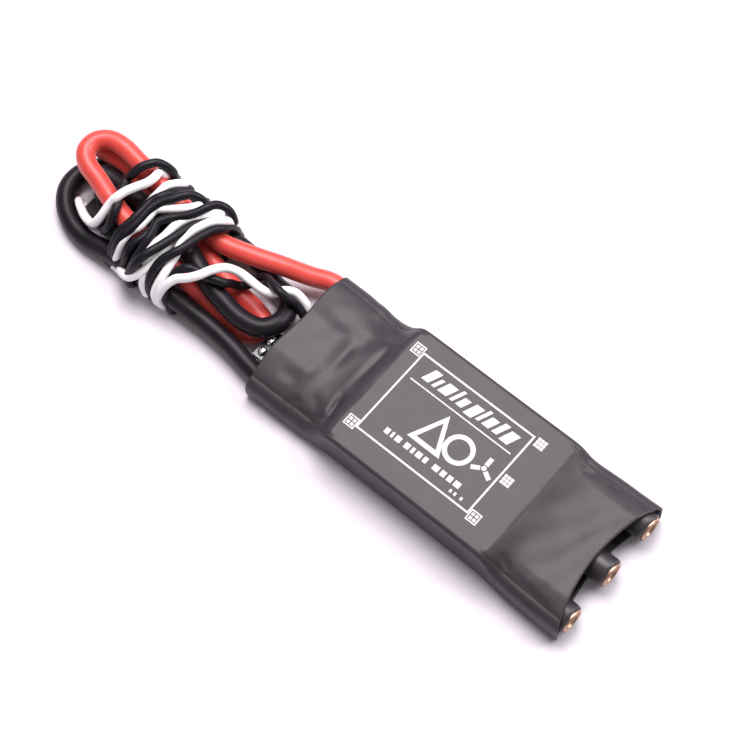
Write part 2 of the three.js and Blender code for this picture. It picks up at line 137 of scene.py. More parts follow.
def mottled(name, dark, light, patch, grain, rough, metal=0.0, relief=(0.2, 0.00004), sheen=0.0,
            coat=0.0, coat_rough=0.3, sheen_rough=0.4, sheen_tint=(1, 1, 1), specular=0.5):
    """A finish whose colour and roughness drift over patches, with a fine grain in its surface. patch and
    grain are noise scales per metre, and relief is the grain's strength and depth in metres."""
    made, tree, shader, where = node_material(name)
    broad = noise(tree, where, patch, 5.0, 0.55, 0.3)
    fine = noise(tree, where, grain, 3.0, 0.6)
    colour = ramp(tree, broad, [(0.32, dark), (0.68, light)])
    tree.links.new(colour, shader.inputs["Base Color"])
    tree.links.new(spread(tree, fine, *rough), shader.inputs["Roughness"])
    soft = bump(tree, broad, relief[0] * 0.5, relief[1] * 3)
    tree.links.new(bump(tree, fine, *relief, under=soft), shader.inputs["Normal"])
    shader.inputs["Metallic"].default_value = metal
    shader.inputs["Specular IOR Level"].default_value = specular
    shader.inputs["Coat Weight"].default_value = coat
    shader.inputs["Coat Roughness"].default_value = coat_rough
    shader.inputs["Sheen Weight"].default_value = sheen
    shader.inputs["Sheen Roughness"].default_value = sheen_rough
    shader.inputs["Sheen Tint"].default_value = (*sheen_tint, 1.0)
    return made


SLEEVE = mottled("shrink_sleeve", (0.034, 0.028, 0.033), (0.041, 0.034, 0.040), 420, 5200, (0.40, 0.47),
                 relief=(0.3, 0.00002), sheen=0.03, sheen_rough=0.35, sheen_tint=(1.0, 0.90, 1.0),
                 coat=0.05, coat_rough=0.42, specular=0.30)
PRINT = mottled("white_print", (0.52, 0.50, 0.52), (0.76, 0.74, 0.76), 1500, 9000, (0.55, 0.7),
                relief=(0.3, 0.00001))
RED = mottled("red_silicone", (0.60, 0.046, 0.034), (0.70, 0.066, 0.050), 220, 4200, (0.36, 0.48),
              relief=(0.18, 0.00003), sheen=0.45, sheen_rough=0.45, sheen_tint=(1.0, 0.66, 0.62),
              coat=0.12, coat_rough=0.35)
BLACK = mottled("black_silicone", (0.006, 0.0045, 0.007), (0.011, 0.008, 0.012), 220, 4200, (0.36, 0.48),
                relief=(0.18, 0.00003), specular=0.24)
WHITE_PVC = mottled("white_insulation", (0.88, 0.86, 0.87), (0.95, 0.93, 0.94), 400, 5200, (0.28, 0.38),
                    relief=(0.1, 0.00002), coat=0.2, coat_rough=0.2)
BLACK_PVC = mottled("black_insulation", (0.006, 0.005, 0.008), (0.011, 0.009, 0.013), 400, 5200,
                    (0.36, 0.48), relief=(0.1, 0.00002), specular=0.22)
GOLD = mottled("gold_plate", (0.42, 0.27, 0.20), (0.56, 0.38, 0.28), 500, 5200, (0.30, 0.44), metal=1.0,
               relief=(0.08, 0.00001))
TINNED = mottled("tinned_copper", (0.62, 0.58, 0.54), (0.82, 0.80, 0.78), 1800, 8000, (0.22, 0.40),
                 metal=1.0, relief=(0.3, 0.00003))
SOLDER = mottled("solder", (0.60, 0.60, 0.62), (0.88, 0.88, 0.90), 700, 5000, (0.12, 0.34), metal=1.0,
                 relief=(0.4, 0.00005))
SOCKET_SHRINK = mottled("socket_shrink", (0.020, 0.017, 0.021), (0.030, 0.026, 0.031), 300, 5200,
                        (0.36, 0.48), relief=(0.2, 0.00002), coat=0.1, coat_rough=0.3)
BOARD = mottled("solder_mask", (0.006, 0.012, 0.010), (0.012, 0.026, 0.020), 260, 6000, (0.25, 0.4),
                relief=(0.3, 0.00003), coat=0.4, coat_rough=0.15)
CHIP = mottled("chip_moulding", (0.014, 0.014, 0.015), (0.024, 0.024, 0.026), 700, 9000, (0.5, 0.66),
               relief=(0.4, 0.00002))
PAD = mottled("thermal_pad", (0.30, 0.38, 0.48), (0.40, 0.48, 0.58), 260, 6000, (0.7, 0.85),
              relief=(0.4, 0.00004))
ALUMINIUM = mottled("milled_aluminium", (0.62, 0.63, 0.65), (0.78, 0.79, 0.81), 120, 3600, (0.26, 0.40),
                    metal=1.0, relief=(0.25, 0.00003))
CERAMIC = mottled("ceramic", (0.40, 0.28, 0.16), (0.56, 0.42, 0.26), 600, 7000, (0.4, 0.55))
TANTALUM = mottled("tantalum_body", (0.30, 0.21, 0.07), (0.42, 0.31, 0.12), 500, 7000, (0.45, 0.6))
CAN = mottled("plated_can", (0.58, 0.57, 0.54), (0.76, 0.75, 0.71), 500, 7000, (0.2, 0.34), metal=1.0)
NYLON = mottled("plug_nylon", (0.005, 0.005, 0.006), (0.009, 0.009, 0.010), 500, 7000, (0.4, 0.54),
                relief=(0.3, 0.00003), specular=0.3)


# ---- Making pieces -----------------------------------------------------------------------------------

def finish_piece(piece, made, replaced=()):
    piece.data.materials.clear()
    piece.data.materials.append(made)
    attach(piece, ROOT)
    if replaced:
        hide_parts(*replaced)
    return piece


def mesh_piece(name, points, faces, made, replaced=(), smooth=True):
    """A piece from points in millimetres from the mouth."""
    data = bpy.data.meshes.new(name)
    data.from_pydata(metres(points).tolist(), [], [list(f) for f in faces])
    data.update()
    data.validate()
    data.polygons.foreach_set("use_smooth", [smooth] * len(data.polygons))
    piece = bpy.data.objects.new(name, data)
    bpy.context.collection.objects.link(piece)
    return finish_piece(piece, made, replaced)


def smooth_line(points, per_span):
    """A centripetal Catmull-Rom line through the points."""
    p = np.asarray(points, float)
    p = np.vstack([2 * p[0] - p[1], p, 2 * p[-1] - p[-2]])
    out = []
    for a, b, c, d in zip(p[:-3], p[1:-2], p[2:-1], p[3:]):
        t0 = 0.0
        t1 = t0 + math.sqrt(np.linalg.norm(b - a))
        t2 = t1 + math.sqrt(np.linalg.norm(c - b))
        t3 = t2 + math.sqrt(np.linalg.norm(d - c))
        for t in np.linspace(t1, t2, per_span, endpoint=False):
            ab = (t1 - t) / (t1 - t0) * a + (t - t0) / (t1 - t0) * b
            bc = (t2 - t) / (t2 - t1) * b + (t - t1) / (t2 - t1) * c
            cd = (t3 - t) / (t3 - t2) * c + (t - t2) / (t3 - t2) * d
            abc = (t2 - t) / (t2 - t0) * ab + (t - t0) / (t2 - t0) * bc
            bcd = (t3 - t) / (t3 - t1) * bc + (t - t1) / (t3 - t1) * cd
            out.append((t2 - t) / (t2 - t1) * abc + (t - t1) / (t2 - t1) * bcd)
    out.append(p[-2])
    return np.array(out)


def cord_piece(name, route, radius, made, replaced, per_span=8):
    line = smooth_line(route, per_span)
    data = bpy.data.curves.new(name, "CURVE")
    data.dimensions = "3D"
    data.bevel_depth = radius * MM
    data.bevel_resolution = 5
    data.use_fill_caps = True
    spline = data.splines.new("POLY")
    spline.points.add(len(line) - 1)
    spline.points.foreach_set("co", np.column_stack([metres(line), np.ones(len(line))]).ravel())
    spline.use_smooth = True
    piece = bpy.data.objects.new(name, data)
    bpy.context.collection.objects.link(piece)
    return finish_piece(piece, made, replaced), line


# ---- Supply leads ------------------------------------------------------------------------------------

LEAD_RADIUS = 1.75
STRAND_RADIUS = 0.8

RED_ROUTE = [
    (4.9, 10.3, 3.3), (2, 10.9, 3.4), (-1.2, 11.1, 3.5), (-5.1, 9.3, 4.2), (-9.9, 7.2, 5.4),
    (-15, 5.2, 5.9), (-20, 3.7, 6.3), (-24, 3.8, 6.8), (-28, 4.1, 7.1), (-33, 4.6, 7.3), (-36.5, 5, 8),
    (-40.7, 5.3, 9), (-44.5, 5.7, 9.4), (-47.6, 5.2, 9.4), (-49.3, 3.4, 9.4), (-49.2, 0.9, 9.4),
    (-47.2, -0.8, 9.2), (-44.2, -1.6, 8.7), (-40.6, -2.6, 7.8), (-36.5, -3.6, 7.2), (-32, -4.2, 6.9),
    (-28, -4.5, 6.5), (-24, -4.7, 5.4), (-19.5, -4.9, 3.6), (-16, -4.9, 2.6), (-13, -5, 2.1),
    (-9.6, -5.1, 1.9), (-7, -5, 1.85), (-5.6, -3.7, 1.85), (-6, -1.7, 1.85), (-8.6, -0.8, 1.85),
    (-12.6, -0.4, 2.1), (-16, 0, 2.8), (-19.5, 0.7, 3.4), (-24, 1.8, 3.5), (-29, 2.6, 3.5),
    (-33, 3.1, 3.5), (-36.5, 3.4, 3.8), (-40, 4.2, 5.2), (-43, 4.8, 5.6), (-46, 4.7, 5.6),
    (-49.9, 4.3, 5.6),
]
BLACK_ROUTE = [
    (4.9, -9.6, 3), (2, -10.2, 2.9), (-2.2, -9.7, 2.7), (-7.1, -8.9, 2.9), (-12.3, -8.5, 3.1),
    (-16, -8.5, 3.3), (-19.5, -8.6, 3.4), (-24, -8.8, 3.5), (-29, -9, 3.5), (-33, -9, 3.4),
    (-37, -9.2, 2.7), (-41, -9.5, 1.95), (-45, -8.7, 1.85), (-48.2, -6.9, 1.85), (-50.2, -4.5, 1.85),
    (-50.8, -1.8, 1.85), (-50.1, 0.9, 1.85), (-48.3, 3.2, 1.85), (-45.7, 5, 1.85), (-42.4, 6.2, 1.9),
    (-39, 6.9, 2.5), (-36, 7.1, 3.2), (-33, 6.8, 3.5), (-28, 6.4, 3.5), (-24, 6.1, 3.5),
    (-19.5, 6.3, 3.2), (-16, 6.5, 2.2), (-13, 6.3, 1.85), (-9.4, 5, 2), (-6.2, 4.4, 2.9),
    (-3.8, 2.3, 4.2), (-2.8, -0.9, 5.3), (-4.3, -3.9, 5.7), (-8.2, -4.9, 5.8), (-12.6, -4.4, 5.9),
    (-16, -3.7, 6.1), (-19.5, -2.5, 6.5), (-24, -1.1, 6.9), (-29, -0.4, 6.9), (-33, 0.1, 6.8),
    (-36.5, 0.6, 6.5), (-40, 0.7, 6), (-43, 1, 5.6), (-46.2, 0.8, 5.5),
]
TIP_LENGTH = 2.0
TIP_GAP = 0.3
TIP_RADIUS = 1.0
WIRE_RADIUS = 0.2
WIRE_TWIST = 1.1  # radians over the tip's length
WIRE_TAPER = 0.06
WIRE_SECTIONS = 9
WIRE_SIDES = 10


def build_tip(name, line):
    """The lead's tinned strands: two rings of wires twisted round a core wire, cut off square."""
    end = line[-1]
    along = end - line[-3]
    along /= np.linalg.norm(along)
    side = np.cross(along, (0.0, 0.0, 1.0))
    side /= np.linalg.norm(side)
    other = np.cross(along, side)
    points, faces = [], []
    sections, sides = WIRE_SECTIONS, WIRE_SIDES
    layouts = [(0.0, 1)] + [(ring * 2 * WIRE_RADIUS, 6 * ring) for ring in (1, 2)]
    for orbit, count in layouts:
        for wire in range(count):
            first = len(points)
            for s in range(sections):
                share = s / (sections - 1)
                turn = 2 * math.pi * wire / count + WIRE_TWIST * share
                out_by = orbit * (1.0 - WIRE_TAPER * share)
                centre = end + along * (share * (TIP_LENGTH + TIP_GAP))
                centre = centre + out_by * (math.cos(turn) * side + math.sin(turn) * other)
                for k in range(sides):
                    angle = 2 * math.pi * k / sides
                    points.append(centre + WIRE_RADIUS * (math.cos(angle) * side + math.sin(angle) * other))
            for s in range(sections - 1):
                for k in range(sides):
                    a = first + s * sides + k
                    b = first + s * sides + (k + 1) % sides
                    faces.append((a, a + sides, b + sides, b))
            faces.append([first + k for k in range(sides)])
            last = first + (sections - 1) * sides
            faces.append([last + k for k in reversed(range(sides))])
    return mesh_piece(f"{name}_strands", points, faces, TINNED, (f"{name}_tip",))


def build_lead(name, route, made):
    piece, line = cord_piece(f"{name}_silicone", route, LEAD_RADIUS, made, (name,))
    tip = build_tip(name, line)


build_lead("red_lead", RED_ROUTE, RED)
build_lead("black_lead", BLACK_ROUTE, BLACK)


# ---- Signal pair -------------------------------------------------------------------------------------

UNDER_Z = 0.89
UNDER_FROM = (-9.9, 1.25)  # y and z where a turn goes down under the bundle
UNDER_TO = (8.1, 1.3)  # y and z where it comes up again
UNDER_REACH = 18.9  # how far across y a turn takes to lean from x_in to x_out


def under(x_in, x_out, hump=None):
    """The stretch of a turn below the bundle, from its -Y side to its +Y side. hump is the lowest y, the
    highest y and the height of a part of it that doesn't lie at UNDER_Z."""
    points = [(x_in, *UNDER_FROM)]
    for y in (-7.5, -4.0, 0.0, 4.0, 7.2):
        share = (y - UNDER_FROM[0]) / UNDER_REACH
        lift = UNDER_Z
        if hump and hump[0] <= y <= hump[1]:
            lift = hump[2]
        points.append((x_in + (x_out - x_in) * share, y, lift))
    points.append((x_out, *UNDER_TO))
    return points


WHITE_ROUTE = [
    (1.2, 4.3, 3.7), (-0.5, 4.3, 3.7), (-2.4, 4.7, 5.1), (-4.2, 4.6, 6.1), (-5.7, 3.5, 6.6),
    (-6.8, 1.7, 6.8), (-8.4, 1, 7.4), (-10.8, 0.9, 7.8), (-13.2, 0.8, 8), (-15.1, -0.4, 9.2),
    (-16.2, -2.8, 10.6), (-16.9, -4.8, 11), (-18.3, -6.3, 10.4), (-20.2, -7.5, 9.4), (-21.1, -8.8, 8.4),
    (-21.9, -9.9, 6.4), (-22.4, -10.5, 3.6),
    *under(-21.6, -20.9),
    (-20.9, 8.08, 3.2), (-20.9, 7.94, 5.6), (-21, 7.2, 7.9), (-21.3, 5.9, 9.6), (-22.5, 4.3, 10.2),
    (-23.4, 2.2, 10.3), (-24, 0.3, 10.2), (-24.1, -1.9, 9.9), (-23.4, -3.6, 9.6), (-23, -5.7, 9.2),
    (-22.8, -7.8, 8.4), (-22.9, -9.4, 7), (-22.9, -10.5, 5.2), (-22.7, -10.6, 3),
    *under(-23.0, -22.7),
    (-22.7, 8.11, 3.4), (-22.7, 8.01, 5.6), (-23.1, 7.2, 8.5), (-22.5, 6.3, 10.2), (-23.8, 5.2, 10.5),
    (-25, 3.5, 10.5), (-26.2, 1.5, 10.4), (-26.8, -0.4, 10.3), (-26.9, -2.8, 10.1), (-27.3, -4.9, 9.7),
    (-27.3, -6.6, 9.3), (-26.3, -8, 8.8), (-25.7, -9.5, 7.8), (-25.5, -10.5, 6.2), (-25.4, -10.7, 4.4),
    (-25.1, -10.6, 2.6),
    *under(-26.3, -24.2),
    (-24.2, 7.97, 3.2), (-24.2, 7.3, 5.6), (-24.3, 6, 7.6), (-24, 4, 8.8), (-24.7, 0.9, 8.9),
    (-25.2, -2.4, 9), (-25.5, -4.5, 9.2), (-25.4, -6.3, 9.3), (-25.5, -8.3, 8.9), (-26.3, -10.1, 8),
    (-27.6, -11.4, 6.8), (-29.7, -11.2, 5), (-31.5, -10.3, 3),
    *under(-30.6, -27.2),
    (-27.2, 8.08, 3.3), (-27.3, 7.7, 5.8), (-27.6, 6.6, 8), (-26.5, 5.1, 10), (-27.2, 3.9, 10.2),
    (-28.7, 2.4, 10.2), (-30.5, 1, 10.1), (-31.7, -0.2, 10), (-31.7, -1.9, 9.9), (-31.7, -4, 9.6),
    (-32.5, -5.8, 9.2), (-32.7, -7.5, 8.4), (-32.8, -8.6, 7), (-32.9, -9.4, 5), (-33.2, -9.7, 3),
    *under(-32.6, -32.9),
    (-32.9, 8.08, 3.3), (-33, 7.9, 5.6), (-32.4, 7.5, 7.8), (-32.9, 6.2, 9), (-33.5, 4.7, 9.6),
    (-33.6, 3.3, 9.6), (-33.8, 1.4, 9.2), (-33.8, -0.6, 8.9), (-33.8, -2.7, 8.7), (-33.7, -5.2, 8.2),
    (-33.8, -7, 7.4), (-33.8, -8.2, 6), (-33.9, -9.2, 3.6),
    *under(-33.6, -35.6),
    (-35.7, 7.97, 3.4), (-35.9, 7.7, 6.4), (-35.6, 6.4, 8.9), (-36, 5.7, 10.3), (-35.7, 4, 10.9),
    (-35.9, 2.3, 11.2), (-36.7, 0.6, 11.3), (-37.5, -1.1, 11.2), (-38.1, -2.8, 10.8), (-38.7, -3.9, 9.6),
    (-39.3, -6.6, 7.2), (-40.6, -7.4, 5), (-43, -7, 4.1), (-44.9, -6.1, 3.9), (-46.2, -5.3, 3.3),
    (-46.7, -4.9, 2.5), (-46.2, -4.75, 1.9), (-45.15, -4.74, 1.8),
]
BLACK_STRAND_ROUTE = [
    (1.2, 2.4, 4.6), (-0.4, 2.7, 4.7), (-2.4, 2.9, 6.2), (-3.5, 2.4, 7.6), (-5, 2.2, 8.7),
    (-7.4, 2.7, 8.2), (-9.6, 3.5, 6.5), (-11.3, 3, 5.1), (-11.7, 1.3, 4.9), (-12.7, -0.1, 5),
    (-13.5, -1.3, 6.7), (-13.8, -2.5, 8.4), (-15.2, -3.2, 8.9), (-16.7, -3.8, 9), (-18.6, -4, 9.1),
    (-20.2, -4.7, 9.3), (-21.4, -6.1, 8.4), (-21.9, -7.5, 7), (-21.7, -8.9, 5.8), (-21.3, -9.7, 4.2),
    (-20.4, -9.9, 2.6),
    *under(-20.0, -20.4, (-7.0, -1.0, 1.0)),
    (-20.6, 7.97, 3.2), (-20.5, 7.4, 5.6), (-20.6, 6.4, 7.6), (-20.7, 4.7, 9.3), (-21.5, 3.1, 9.9),
    (-22, 0.7, 10.5), (-22.3, -1.4, 10.9), (-22.6, -3.3, 11.1), (-23.3, -4.9, 10.9), (-24.1, -6.6, 10.2),
    (-24.4, -8.2, 9.2), (-24.5, -9.5, 7.8), (-24.5, -10.2, 5.8), (-24.5, -10.3, 3.4),
    *under(-24.6, -23.2),
    (-23.3, 7.9, 3), (-23.3, 7.3, 5.4), (-23.2, 6.2, 7.6), (-22.8, 5.2, 9.2), (-24, 3.3, 9.8),
    (-24.7, 1.1, 10.3), (-25, -1, 10.7), (-25.3, -3.2, 11.1), (-25.7, -5.2, 11.3), (-26.2, -7.1, 11.4),
    (-26.7, -8.6, 11), (-27.2, -9.8, 10), (-27.8, -10.7, 8), (-28.5, -11.2, 5.6), (-28.5, -11.2, 3),
    *under(-28.6, -22.2, (-4.0, 4.0, 0.82)),
    (-22, 8.43, 3), (-21.8, 8.5, 5), (-20.8, 7.7, 7.8), (-21.5, 7.9, 9.4), (-22.7, 7.6, 10.6),
    (-23.9, 6.7, 11.2), (-24.5, 5.2, 11.5), (-25.1, 3.8, 11.4), (-26.1, 2.3, 11.2), (-27.3, 1, 11),
    (-28.6, -0.6, 10.9), (-29.3, -2.1, 10.8), (-28.9, -3.8, 10.5), (-28.6, -5.5, 10.2), (-28.5, -7, 9.4),
    (-28.7, -8.3, 8.2), (-29.2, -9.3, 6.2), (-29.9, -9.8, 3.4),
    *under(-29.6, -25.6, (-4.0, 4.0, 0.82)),
    (-25.6, 8.01, 3), (-25.6, 7.5, 5.4), (-25.8, 6, 7.8), (-27.1, 3.5, 8.8), (-28.6, 1.3, 9),
    (-29.6, -1.4, 9.2), (-29.8, -3.7, 9.3), (-30, -5.6, 9.3), (-30.5, -7.2, 8.9), (-30.6, -8.6, 7.8),
    (-30.8, -9.4, 5.8), (-31.5, -9.9, 3.4),
    *under(-31.6, -27.9),
    (-27.9, 8.21, 3.2), (-27.9, 8.14, 5.6), (-26.2, 6.8, 8.4), (-27, 6.4, 10.1), (-28.3, 5.7, 11),
    (-29.4, 4.3, 11.3), (-30.2, 2.9, 11.3), (-31.2, 1.7, 11.1), (-31.9, 0.2, 10.9), (-32.2, -1.3, 10.7),
    (-32.2, -3.4, 10.3), (-32.4, -5.2, 9.9), (-32.9, -6.8, 9.3), (-33.3, -8.2, 8), (-33.4, -9.1, 6.2),
    (-33.7, -9.6, 3.4),
    *under(-34.2, -31.6),
    (-31.8, 8.14, 3.2), (-31.8, 8.08, 5.8), (-31.8, 5.9, 8.2), (-31.9, 4.1, 9.9), (-32.4, 2.4, 10.5),
    (-33.2, 0.7, 10.2), (-33.3, -1.3, 10), (-33.4, -3.5, 9.8), (-33.7, -5.2, 9.3), (-34.1, -6.7, 8.6),
    (-34.2, -8.1, 7.2), (-34.2, -9.2, 5.4), (-34.3, -9.6, 3),
    *under(-35.2, -34.7),
    (-34.7, 8.11, 3.4), (-34.8, 8.11, 6), (-34.5, 7.5, 7.6), (-34.7, 7.5, 9.4), (-35.7, 7, 11),
    (-36.8, 6.3, 11.8), (-37.7, 5.1, 12), (-38.5, 3.6, 11.8), (-39, 2.2, 11), (-39.8, 1.4, 9.6),
    (-38.9, -0.9, 9.7), (-37.8, -2.9, 9.9), (-36.9, -5.2, 9.3), (-36.8, -7, 7.4), (-37.8, -7.3, 5.6),
    (-39.6, -5.9, 5.1), (-41, -4.7, 4.8), (-43.3, -2.8, 4.4), (-45.2, -1.5, 4.05), (-46.6, -0.3, 2.8),
    (-46.8, 0.3, 2.1), (-46.1, 0.34, 1.85), (-45.15, 0.34, 1.8),
]


def build_signal_pair():
    white, white_line = cord_piece("signal_white", WHITE_ROUTE, STRAND_RADIUS, WHITE_PVC,
                                   ("signal_white_strand", "signal_white_tail"))
    black, black_line = cord_piece("signal_black", BLACK_STRAND_ROUTE, STRAND_RADIUS, BLACK_PVC,
                                   ("signal_black_strand", "signal_black_tail", "signal_winding"))


build_signal_pair()


# ---- Shrink sleeve -----------------------------------------------------------------------------------

SLEEVE_LENGTH = 67.3
SLEEVE_STEP = 0.26
TOP_POINTS = 121
WALL = 0.45
LIP_RECESS = 2.9
LIP_RECESS_FROM = 58.0
LIP_ROUND = 0.12  # how far each cut end stands out in the middle of the wall
PLATEAU = dict(x=(17.1, 51.6), y=12.07, top=8.52)
# Along the sleeve, from the mouth: x, where the top turns down into the side, that edge's height, and
# the half width.
EDGE_STATIONS = np.array([
    (0.0, 11.3, 5.35, 13.35), (5.0, 11.3, 5.3, 13.35), (9.0, 11.0, 5.0, 13.3), (13.0, 11.0, 5.1, 13.2),
    (15.6, 11.3, 6.0, 13.0), (17.1, 12.07, 8.2, 12.9), (19.0, 12.07, 8.52, 12.85),
    (35.0, 12.07, 8.52, 12.85), (50.0, 12.07, 8.52, 12.95), (51.6, 12.0, 8.3, 13.05),
    (53.2, 11.6, 6.5, 13.3), (56.0, 11.8, 6.15, 13.55), (60.0, 12.0, 6.25, 13.75),
    (67.3, 12.1, 6.2, 13.9),
])


EDGE_STEP = 0.1
EDGE_SOFTNESS = 0.7
EDGE_KERNEL = 30  # steps to each side


def edge_at(x):
    """The top's edge, its height and the half width at x, smoothed along the sleeve."""
    fine = np.arange(-6.0, SLEEVE_LENGTH + 6.0, EDGE_STEP)
    out = []
    kernel = np.exp(-0.5 * (np.arange(-EDGE_KERNEL, EDGE_KERNEL + 1) * EDGE_STEP / EDGE_SOFTNESS) ** 2)
    kernel /= kernel.sum()
    for column in (1, 2, 3):
        raw = np.interp(fine, EDGE_STATIONS[:, 0], EDGE_STATIONS[:, column])
        padded = np.pad(raw, EDGE_KERNEL, mode="edge")
        out.append(np.interp(x, fine, np.convolve(padded, kernel, mode="valid")))
    return out


def block(x, y, low_x, high_x, low_y, high_y, top, corner):
    """The height of a block with rounded upper edges, or nothing beside it."""
    out_x = np.maximum(np.maximum(low_x + corner - x, x - high_x + corner), 0.0)
    out_y = np.maximum(np.maximum(low_y + corner - y, y - high_y + corner), 0.0)
    away = np.hypot(out_x, out_y)
    drop = corner - np.sqrt(np.maximum(corner ** 2 - away ** 2, 0.0))
    return np.where(away <= corner, top - drop, -1.0)


def rod(x, y, low_x, high_x, centre_y, axis_z, radius):
    """The height of a rod that lies along x, with a rounded end."""
    past = np.maximum(np.maximum(low_x - x, x - high_x), 0.0)
    under_root = radius ** 2 - (y - centre_y) ** 2 - (past * 1.2) ** 2
    return np.where(under_root > 0, axis_z + np.sqrt(np.maximum(under_root, 0.0)), -1.0)


def contents(x, y):
    """The height of what the film is stretched over."""
    plate = block(x, y, *PLATEAU["x"], -PLATEAU["y"], PLATEAU["y"], PLATEAU["top"], 0.55)
    capacitors = block(x, y, -3.0, 8.7, -6.4, 4.7, 7.0, 1.1)
    ridge = block(x, y, 10.9, 13.0, -7.6, 5.6, 6.55, 0.9)
    red_lead = rod(x, y, -5.0, 5.6, 10.5, 3.45, 2.25)
    red_joint = rod(x, y, 5.0, 9.0, 9.6, 3.3, 2.5)
    black_lead = rod(x, y, -5.0, 5.6, -10.1, 3.1, 2.25)
    black_joint = rod(x, y, 5.0, 9.0, -9.5, 3.1, 2.4)
    sockets = block(x, y, 54.6, 75.0, -9.9, 9.9, 7.3, 1.2)
    return np.maximum.reduce([plate, capacitors, ridge, red_lead, red_joint, black_lead, black_joint,
                              sockets])


FILM_PULL = (1.0, 0.30)  # across and along the body
FILM_SWEEPS = 1400
FILM_OVERSHOOT = 1.7


def stretch_film(x, y, edge_z):
    """The relaxed film over the contents, held at its two edges: pulled harder round the body than along
    it, which is how the tube was shrunk."""
    across, along = FILM_PULL
    step_y = (y[:, 1:] - y[:, :-1]).mean(axis=1)[:, None]
    weight_y = across / step_y ** 2
    weight_x = along / SLEEVE_STEP ** 2
    floor = contents(x, y)
    z = np.maximum(floor, edge_z[:, None])
    even = (np.indices(z.shape).sum(axis=0) % 2) == 0
    for _ in range(FILM_SWEEPS):
        for colour in (even, ~even):
            ends = np.vstack([z[1:2], z, z[-2:-1]])
            pull = weight_x * (ends[:-2, 1:-1] + ends[2:, 1:-1]) + weight_y * (z[:, :-2] + z[:, 2:])
            rest = pull / (2 * weight_x + 2 * weight_y)
            moved = z[:, 1:-1] + FILM_OVERSHOOT * (rest - z[:, 1:-1])
            moved = np.maximum(moved, floor[:, 1:-1])
            z[:, 1:-1] = np.where(colour[:, 1:-1], moved, z[:, 1:-1])
    return z


def blur(z, reach_x, reach_y):
    """The heights smoothed over a reach in grid steps along each axis."""
    for axis, reach in ((0, reach_x), (1, reach_y)):
        size = int(3 * reach + 1)
        kernel = np.exp(-0.5 * (np.arange(-size, size + 1) / reach) ** 2)
        kernel /= kernel.sum()
        pads = [(size, size) if a == axis else (0, 0) for a in (0, 1)]
        padded = np.pad(z, pads, mode="edge")
        z = np.apply_along_axis(lambda row: np.convolve(row, kernel, mode="valid"), axis, padded)
    return z


def crease(x, y, start, end, depth, width):
    """A fold pressed into the film along a line, fading at both its ends."""
    a, b = np.array(start, float), np.array(end, float)
    along = b - a
    share = ((x - a[0]) * along[0] + (y - a[1]) * along[1]) / (along @ along)
    held = np.clip(share, 0.0, 1.0)
    away = np.hypot(x - a[0] - held * along[0], y - a[1] - held * along[1])
    fade = np.sin(np.pi * np.clip(share * 0.9 + 0.05, 0.0, 1.0))
    return -depth * fade * np.exp(-0.5 * (away / width) ** 2)


# Folds in the film, each a start and an end in (x, y), a depth and a width.
FOLDS = [
    ((12.0, -11.0), (16.5, -9.6), 0.32, 0.5), ((11.0, -7.5), (15.0, -11.5), 0.18, 0.7),
    ((9.0, 10.6), (16.0, 8.8), 0.8, 1.3), ((9.8, 6.5), (12.5, 3.0), 0.15, 0.8),
    ((52.8, -9.8), (55.6, -11.4), 0.35, 0.5), ((56.0, -11.2), (65.5, -12.0), 0.25, 0.45),
    ((53.2, 9.8), (56.5, 11.2), 0.3, 0.5), ((57.5, 11.0), (66.0, 11.8), 0.25, 0.5),
    ((3.6, -8.2), (7.4, -7.2), 0.2, 0.9), ((14.9, -4.6), (15.9, -11.6), 0.8, 0.5),
    ((15.0, -4.6), (15.6, 9.4), 0.4, 0.6), ((1.6, 6.2), (9.6, 4.8), 0.3, 1.3),
    ((9.9, 4.4), (9.9, -3.0), 0.35, 0.8), ((7.6, -11.6), (9.6, -9.6), 0.3, 0.5),
]
TOP_FAN = math.pi / 2 * 0.92  # closes up the top's points towards its edges
FILM_SOFTNESS = (2.0, 1.4)
WOBBLE = 0.05
LIP_CURL = 0.25
UNDERSIDE_Z = 0.02
UNDERSIDE_SPANS = 18
LOW_CORNER = 1.2


def top_heights(x, y, share, edge_z):
    """The film's heights: flat and sharp over the plate, softened, folded and uneven elsewhere."""
    z = stretch_film(x, y, edge_z)
    plateau = block(x, y, *PLATEAU["x"], -PLATEAU["y"], PLATEAU["y"], 1.0, 0.9) > 0.95
    z = np.where(plateau, z, blur(z, *FILM_SOFTNESS))
    outside = ~plateau
    for fold in FOLDS:
        z = z + np.where(outside, crease(x, y, *fold), 0.0)
    wobble = WOBBLE * (np.sin(0.55 * x + 1.3 * np.sin(0.31 * y)) * np.sin(0.47 * y + 0.6)
                       + 0.6 * np.sin(1.13 * x - 0.7 * y + 2.0))
    return z + np.where(outside, wobble, 0.0) * (1 - np.abs(share[None, :]) ** 6)


def lip_draw(at, across, half):
    """How far the lip over the sockets is drawn back at a station, most in its middle."""
    reach = min(1.0, max(0.0, (at - LIP_RECESS_FROM) / (SLEEVE_LENGTH - LIP_RECESS_FROM)))
    reach = reach * reach * (3 - 2 * reach)
    return LIP_RECESS * reach * (1 - np.minimum(1.0, np.abs(across) / half) ** 2)


